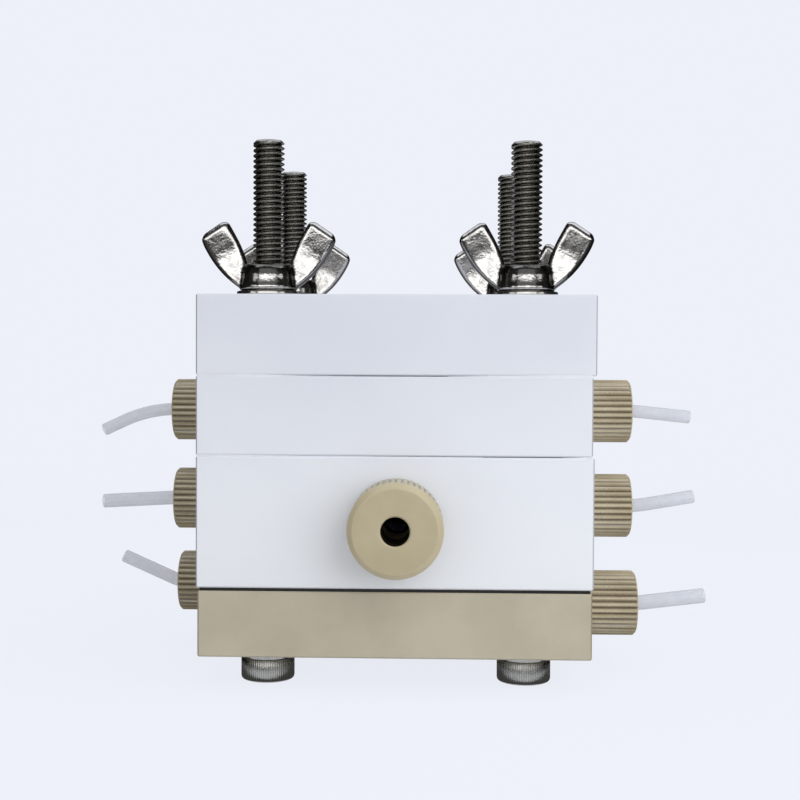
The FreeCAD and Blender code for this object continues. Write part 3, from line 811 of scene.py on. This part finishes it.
def addKnob(shell, k):
    wear = [wearOf(rib) for rib in range(k["ribs"])]
    count = k["ribs"] * ribSteps
    crest, length, c = k["diameter"] / 2, k["length"], k["chamfer"]
    edge, runOut = 0.3, 0.15  # mm, broken inner edge of the ribs, and how far they run out at the collar

    def ribRing(height, limit):
        ring = []
        depth = k["ribDepth"]
        if k["collar"]:
            depth *= min(1, max(0, length - k["collar"] - height) / runOut)
        for number in range(count):
            worn = wear[number // ribSteps]
            share = abs((number % ribSteps) / ribSteps - 0.5) * 2  # 1 in the groove, 0 on the crest
            groove = 0.5 - 0.5 * math.cos(math.pi * max(0.0, (share - 0.2) / 0.8))
            cut = depth * (groove * worn + 0.16 * share * share)
            radius = min(crest - cut, limit)
            # dirt and painted shade in the grooves; from rib to rib it also dims some crests' painted highlight
            dirtAndShade = k["grooveDirtAndShade"] * max(groove, 0.4 * (worn - ribWear[0]))
            clean = depth <= 0 or limit <= crest - edge  # on the collar and low on a chamfer
            ring.append((around(radius, height, 2 * math.pi * number / count), 0.0 if clean else dirtAndShade))
        return ring

    outer = [ribRing(0, crest - edge), ribRing(edge, crest)]
    outer += [ribRing(length * share, crest) for share in (0.35, 0.7)]
    if k["collar"]:
        outer += [ribRing(length - k["collar"] - runOut, crest), ribRing(length - k["collar"], crest)]
    outer += [ribRing(length - c * share, crest - c * (1 - share)) for share in (1.0, 0.75, 0.5, 0.25, 0.1)]
    outer += [ribRing(length, crest - c - 0.04)]
    bore = k["bore"] / 2
    flare = k["boreChamfer"]
    inner = []
    if k["collar"]:  # the turned face, whose rims get the painted crest highlight
        inner = [plainRing(crest - c - 0.25, length, count, 0.2), plainRing(bore + flare + 0.2, length, count, 0.2)]
    inner += [plainRing(bore + flare, length, count), plainRing(bore, length - flare, count)]
    # the bore takes the full groove colour: painted shade
    inner += [plainRing(bore, length - flare - 0.05, count, 1.0), plainRing(bore, 0, count, 1.0)]
    addRings(shell, outer + inner, loop=True)


def addStem(shell, s):  # threaded stem below the knob, drilled through
    bottomRing, topRing = addThread(shell, s)
    count = s["perTurn"]
    bore = s["bore"] / 2
    below = bridge(shell, list(reversed(bottomRing)), list(reversed(plainRing(bore, s["bottom"], count))))
    above = bridge(shell, topRing, plainRing(bore, s["top"], count))
    below.reverse()
    for k in range(count):
        after = (k + 1) % count
        shell["faces"].append((above[k], above[after], below[after], below[k]))


fitting = {
    "knob": {
        "diameter": 12.8, "length": 10.45, "ribs": 32, "ribDepth": 0.48, "grooveDirtAndShade": 1.0, "collar": 0,
        "chamfer": 0.5, "bore": 3.3, "boreChamfer": 0.25,
    },
    "stem": {
        "perTurn": 36, "pitch": 0.907, "diameter": 6.35, "depth": 0.5,
        "tipChamfer": 0.02, "tipLength": 0.02, "plainTip": 0.3, "top": 0.3, "bore": 3.3,
    },
}
cap = {
    "knob": {
        "diameter": 17.1, "length": 10.8, "ribs": 48, "ribDepth": 0.13, "grooveDirtAndShade": 0.75, "collar": 1.9,
        "chamfer": 0.95, "bore": 5.2, "boreChamfer": 0.3,
    },
    "stem": {
        "perTurn": 56, "pitch": 1.5, "diameter": 13.0, "depth": 0.85, "bottom": -7.6,
        "tipChamfer": 0.02, "tipLength": 0.02, "plainTip": 0.3, "top": 0.3, "bore": 5.2,
    },
}


def makeKnob(name, parts):
    shell = newShell()
    addKnob(shell, parts["knob"])
    addStem(shell, parts["stem"])
    return makeMesh(name, shell)


def sideOf(port):
    return -1 if port.endswith("left") else 1


def outerFace(port):  # x of a fitting's outer face, in m
    low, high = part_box("fitting_" + port)
    return low.x if sideOf(port) < 0 else high.x


fittingMeshes = {}
for port in ports:
    node = "fitting_" + port
    side, middle = sideOf(port), middleOf(node)
    low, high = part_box(node)
    stemLength = round((high.x - low.x) * 1000 - fitting["knob"]["length"], 2)
    if stemLength not in fittingMeshes:
        fitting["stem"]["bottom"] = -stemLength
        fittingMeshes[stemLength] = makeKnob("fitting", fitting)
    start = Vector((outerFace(port) - side * fitting["knob"]["length"] / 1000, middle.y, middle.z))
    addPiece(node + "_knurled", fittingMeshes[stemLength], node, knurledPeek, facing((side, 0, 0), start))
middle = middleOf("reference_cap")
start = Vector((middle.x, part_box("reference_cap")[0].y + cap["knob"]["length"] / 1000, middle.z))
addPiece("referenceCap", makeKnob("referenceCap", cap), "reference_cap", turnedPeek, facing((0, -1, 0), start))
print("fittings and cap made")


# tube stubs: straight through the fitting, one soft bend, cut square
tube = {
    "bore": 1.5,
    "cutEdge": 0.3,
    "steps": 48,
    "bendSteps": 10,
    "diameters": {
        "anolyte_left": 2.55, "anolyte_right": 2.6, "catholyte_left": 2.9,
        "catholyte_right": 2.65, "gas_left": 2.75, "gas_right": 2.9,
    },
    # bend upward in degrees, bend radius, distance of the tip from the middle of the cell
    "bends": {
        "anolyte_left": (-25.0, 26.0, 62.7),
        "anolyte_right": (-6.0, 25.0, 59.7),
        "catholyte_left": (-3.2, 40.0, 63.2),
        "catholyte_right": (9.8, 20.0, 60.3),
        "gas_left": (24.0, 4.0, 60.3),
        "gas_right": (7.0, 15.0, 61.3),
    },
}


def makeTube(t, port):
    side, middle = sideOf(port), middleOf("fitting_" + port) * 1000
    bend, radius, reach = t["bends"][port]
    leave = abs(outerFace(port)) * 1000
    innerEnd = min(abs(corner.x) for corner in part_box("tube_" + port)) * 1000
    angle, rise = math.radians(abs(bend)), math.copysign(1, bend)
    path = [(innerEnd - leave, 0.0, 0.0), (0.0, 0.0, 0.0)]  # (out, up, heading)
    for k in range(1, t["bendSteps"] + 1):
        a = angle * k / t["bendSteps"]
        path.append((radius * math.sin(a), rise * radius * (1 - math.cos(a)), a * rise))
    out, up, heading = path[-1]
    run = (reach - leave - out) / math.cos(heading)
    for share in (0.5, 1.0):
        path.append((out + run * share * math.cos(heading), up + run * share * math.sin(heading), heading))

    def section(stop, r, back=0.0, inBore=0.0):
        out, up, heading = stop
        out, up = out - back * math.cos(heading), up - back * math.sin(heading)
        ring = []
        for k in range(t["steps"]):
            a = 2 * math.pi * k / t["steps"]
            lift = r * math.sin(a)
            x = side * (leave + out - lift * math.sin(heading))
            ring.append(((x, middle.y + r * math.cos(a), middle.z + up + lift * math.cos(heading)), inBore))
        return ring if side > 0 else list(reversed(ring))

    outer, inner, edge = t["diameters"][port] / 2, t["bore"] / 2, t["cutEdge"]
    end = path[-1]
    rings = [section(stop, outer) for stop in path[:-1]]
    rings += [section(end, outer, edge), section(end, outer - edge * 0.3, edge * 0.3), section(end, outer - edge)]
    rings += [section(end, inner + edge / 2), section(end, inner, edge / 2, 1.0)]
    rings += [section(stop, inner, 0.0, 1.0) for stop in reversed(path[:-1])]
    shell = newShell()
    addRings(shell, rings, loop=True)
    return makeMesh("tube_" + port, shell)


for port in ports:
    addPiece("tubeStub_" + port, makeTube(tube, port), "tube_" + port, softMaterials["extrudedTube"])
print("tubes made")


# plates, sheets and hidden parts keep their imported shape and get their real finish, with its painted light and
# shade
finishes = {
    machinedPtfe: ["catholyte_plate", "anolyte_plate", "end_plate"],
    milledPeek: ["gas_plate"],
    softMaterials["blackRubber"]: ["cathode_gasket", "reference_o_ring"],
    softMaterials["shadedClearSilicone"]: ["membrane_gasket", "anode_gasket"],
    softMaterials["membraneFilm"]: ["membrane"],
    softMaterials["carbonPaper"]: ["gas_diffusion_cathode"],
    rolledTitanium: ["cathode_collector", "anode"],
    softMaterials["mouldedPlastic"]: ["reference_ring"] + ["ferrule_" + port for port in ports],
}
for material, members in finishes.items():
    for node in members:
        for slot in nodes[node].material_slots:
            slot.material = material
print("plates finished")


# silicone squeezed into the broken edges of a joint: where the joint shows dark, it lies deeper and leaves part
# of the joint open above it. Each front lists (x, depth, open share)
beads = {
    "fronts": {
        "anode_gasket": [
            (-36, 0.0, 0.0), (-27, 0.03, 0.0), (-24, 0.12, 0.0), (-20.5, 0.25, 0.05), (-17, 0.3, 0.35),
            (-13, 0.33, 0.6), (-8.5, 0.36, 0.85), (-4, 0.46, 0.9), (5, 0.6, 0.9), (8, 0.46, 0.8),
            (10.5, 0.33, 0.55), (14, 0.28, 0.25), (19, 0.2, 0.05), (24, 0.1, 0.0), (30, 0.02, 0.0), (36, 0.0, 0.0),
        ],
        "membrane_gasket": [
            (-36, 0.06, 0.0), (-28, 0.12, 0.0), (-22, 0.25, 0.05), (-17, 0.28, 0.15), (-8, 0.3, 0.25),
            (-4, 0.31, 0.4), (0, 0.32, 0.5), (6, 0.33, 0.55), (12, 0.34, 0.6), (15, 0.36, 0.7), (18, 0.42, 0.85),
            (22, 0.55, 0.9), (25, 0.6, 0.9), (28, 0.5, 0.8), (31, 0.36, 0.6), (34, 0.3, 0.2), (36, 0.1, 0.0),
        ],
    },
    "sides": (0.1, 0.0),  # depth and open share at the corners and along the other sides
    "jointChamfer": 0.25,
    "start": 0.38,  # how far outside the gasket's edge the depths are counted from
    "reach": 0.9,  # depth of its inner end
    "squeeze": 0.96,
}


def makeBead(b, node):
    low, high = [corner * 1000 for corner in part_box(node)]
    level, half = (low.z + high.z) / 2, (high.z - low.z) / 2
    stations = [(min(max(x, low.x), high.x), low.y, 0, -1, depth, gap) for x, depth, gap in b["fronts"][node]]
    turns = [(high.x, low.y, 1, -1), (high.x, high.y, 1, 1), (low.x, high.y, -1, 1), (low.x, low.y, -1, -1)]
    stations += [turn + b["sides"] for turn in turns]
    rings = []
    for x, y, outX, outY, depth, gap in stations:
        ring = []
        shoulder = max(b["jointChamfer"], depth + 0.01)
        flare = max(0, b["jointChamfer"] - depth)
        for inward, tall in ((b["reach"], half), (shoulder, half), (depth, half + flare)):
            ring.append((inward, -tall * b["squeeze"]))
        ring += [(inward, -lift * (1 - 2 * gap)) for inward, lift in reversed(ring)]
        outward = [(b["start"] - inward, level + lift) for inward, lift in ring]
        rings.append([((x + outX * far, y + outY * far, height), 0.0) for far, height in outward])
    shell = newShell()
    addRings(shell, rings, loop=True)
    return makeMesh("bead_" + node, shell)


for node in beads["fronts"]:
    bead = showMesh("bead_" + node, makeBead(beads, node))
    bead.data.materials.append(softMaterials["squeezedSilicone"])
    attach(bead, bodyOf[node])
print("joints filled")


# studio: pale surroundings, soft light from the right
studio = {
    "background": "#edf0f8",
    "floorFade": (0.16, 0.5),  # m from the middle
    "floorGlow": 0.93,
    "floorMatt": 0.1,
    "floorLight": (0.6, 0.6, 0.6, 1),  # what the floor throws back at the object
    "fill": 0.76,
    "fillTurn": (0.27, -0.28, -0.12),  # how much brighter it gets toward the right, the back and the top
    "keyPlace": (0.18, -0.24, 0.16),
    "keyAim": (0, 0, 0.05),
    "keySize": 0.32,
    "keyPower": 0.29,
}


def seenShare(tree):  # 1 for rays that show the backdrop: camera, mirror and glass
    path = addNode(tree, "ShaderNodeLightPath")
    rays = [path.outputs[name + " Ray"] for name in ("Is Camera", "Is Glossy", "Is Transmission")]
    seen = addNode(tree, "ShaderNodeMath", links={0: rays[0], 1: rays[1]}, operation="MAXIMUM")
    return addNode(tree, "ShaderNodeMath", links={0: seen.outputs[0], 1: rays[2]}, operation="MAXIMUM").outputs[0]


def addStudio(s):
    scene = bpy.context.scene
    scene.view_settings.view_transform = "Standard"
    world = bpy.data.worlds.new("studio")
    scene.world = world
    world.use_nodes = True
    tree = world.node_tree
    tree.nodes.clear()
    direction = addNode(tree, "ShaderNodeTexCoord")
    turned = addNode(
        tree, "ShaderNodeVectorMath", {1: s["fillTurn"]}, {0: direction.outputs["Generated"]},
        operation="DOT_PRODUCT",
    )
    level = addNode(
        tree, "ShaderNodeMath", {1: s["fill"]}, {0: turned.outputs["Value"]}, operation="ADD", use_clamp=True,
    )
    light = addNode(tree, "ShaderNodeBackground", {"Color": (1, 1, 1, 1)}, {"Strength": level.outputs[0]})
    backdrop = addNode(tree, "ShaderNodeBackground", {"Color": toLinear(s["background"]), "Strength": 1.0})
    mixed = addNode(
        tree, "ShaderNodeMixShader", links={0: seenShare(tree), 1: light.outputs[0], 2: backdrop.outputs[0]},
    )
    addNode(tree, "ShaderNodeOutputWorld", links={"Surface": mixed.outputs[0]})

    key = bpy.data.lights.new("key", "AREA")
    key.shape = "DISK"
    key.size = s["keySize"]
    key.energy = s["keyPower"]
    lamp = bpy.data.objects.new("key", key)
    lamp.visible_glossy = lamp.visible_camera = False
    aim = Vector(s["keyAim"]) - Vector(s["keyPlace"])
    lamp.matrix_world = Matrix.Translation(s["keyPlace"]) @ aim.to_track_quat("-Z", "Y").to_matrix().to_4x4()
    scene.collection.objects.link(lamp)


def addFloor(s):
    shell = newShell()
    start, end = s["floorFade"]
    addRings(shell, [plainRing(end * 1000, height, 96) for height in (0, -1)])
    floor = showMesh("floor", makeMesh("floor", shell))
    material, tree = emptyMaterial("paleFloor")
    pale = toLinear(s["background"])
    glow = addNode(tree, "ShaderNodeEmission", {"Color": pale, "Strength": s["floorGlow"]})
    matt = addNode(tree, "ShaderNodeBsdfDiffuse", {"Color": [c * s["floorMatt"] for c in pale[:3]] + [1]})
    bright = addNode(tree, "ShaderNodeAddShader", links={0: glow.outputs[0], 1: matt.outputs[0]})
    plain = addNode(tree, "ShaderNodeBsdfDiffuse", {"Color": s["floorLight"]})
    surface = addNode(
        tree, "ShaderNodeMixShader", links={0: seenShare(tree), 1: plain.outputs[0], 2: bright.outputs[0]},
    )
    space = addNode(tree, "ShaderNodeTexCoord")
    distance = addNode(tree, "ShaderNodeVectorMath", links={0: space.outputs["Object"]}, operation="LENGTH")
    fade = addNode(
        tree, "ShaderNodeMapRange", {1: start, 2: end}, {0: distance.outputs["Value"]},
        interpolation_type="SMOOTHSTEP",
    )
    clear = addNode(tree, "ShaderNodeBsdfTransparent")
    whole = addNode(
        tree, "ShaderNodeMixShader", links={0: fade.outputs[0], 1: surface.outputs[0], 2: clear.outputs[0]},
    )
    addNode(tree, "ShaderNodeOutputMaterial", links={"Surface": whole.outputs[0]})
    floor.data.materials.append(material)


# cards that only reflections see: (middle in m, width, height, direction that they face, brightness)
cards = {
    "cardLeft": ((-0.42, -0.1, 0.15), 1.1, 0.9, (1, 0, 0), 0.01),
    "cardRight": ((0.42, -0.1, 0.15), 1.1, 0.9, (-1, 0, 0), 0.01),
    "cardBehind": ((0.0, 0.5, 0.25), 1.0, 0.6, (0, -1, 0), 0.06),
    "cardAbove": ((0.0, -0.44, 0.6), 1.0, 0.5, (0, 0, -1), 0.02),
    "cardHigh": ((0.0, -0.5, 0.38), 1.0, 0.34, (0, 1, 0), 0.12),
    "cardLow": ((0.0, -0.5, -0.06), 1.0, 0.26, (0, 1, 0), 0.05),
    "cardLowLeft": ((-0.235, -0.05, 0.002), 0.37, 0.9, (0, 0, 1), 0.05),
    "cardLowRight": ((0.235, -0.05, 0.002), 0.37, 0.9, (0, 0, 1), 0.05),
    # painted shadow: a dark card that reflections see on the floor under the plates
    "cardUnder": ((0.0, 0.013, 0.0003), 0.13, 0.088, (0, 0, 1), 0.1),
    "brightStrip": ((0.0, -0.47, 0.138), 0.66, 0.145, (0, 1, 0), 1.5),
    "stripLeft": ((-0.41, -0.35, 0.138), 0.24, 0.145, (1, 0, 0), 0.9),
    "stripRight": ((0.41, -0.35, 0.138), 0.24, 0.145, (-1, 0, 0), 0.9),
}


def addCard(name, middle, width, height, direction, brightness):
    x, y = width / 2, height / 2
    mesh = bpy.data.meshes.new(name)
    mesh.from_pydata([(-x, -y, 0), (x, -y, 0), (x, y, 0), (-x, y, 0)], [], [(0, 1, 2, 3)])
    material, tree = emptyMaterial(name)
    flat = addNode(tree, "ShaderNodeEmission", {"Color": (1, 1, 1, 1), "Strength": brightness})
    addNode(tree, "ShaderNodeOutputMaterial", links={"Surface": flat.outputs[0]})
    mesh.materials.append(material)
    card = showMesh(name, mesh)
    card.matrix_world = Matrix.Translation(middle) @ Vector(direction).to_track_quat("Z", "Y").to_matrix().to_4x4()
    card.visible_camera = card.visible_diffuse = card.visible_transmission = False
    card.visible_shadow = card.visible_volume_scatter = False


addStudio(studio)
addFloor(studio)
for name, card in cards.items():
    addCard(name, *card)
print("studio lit")
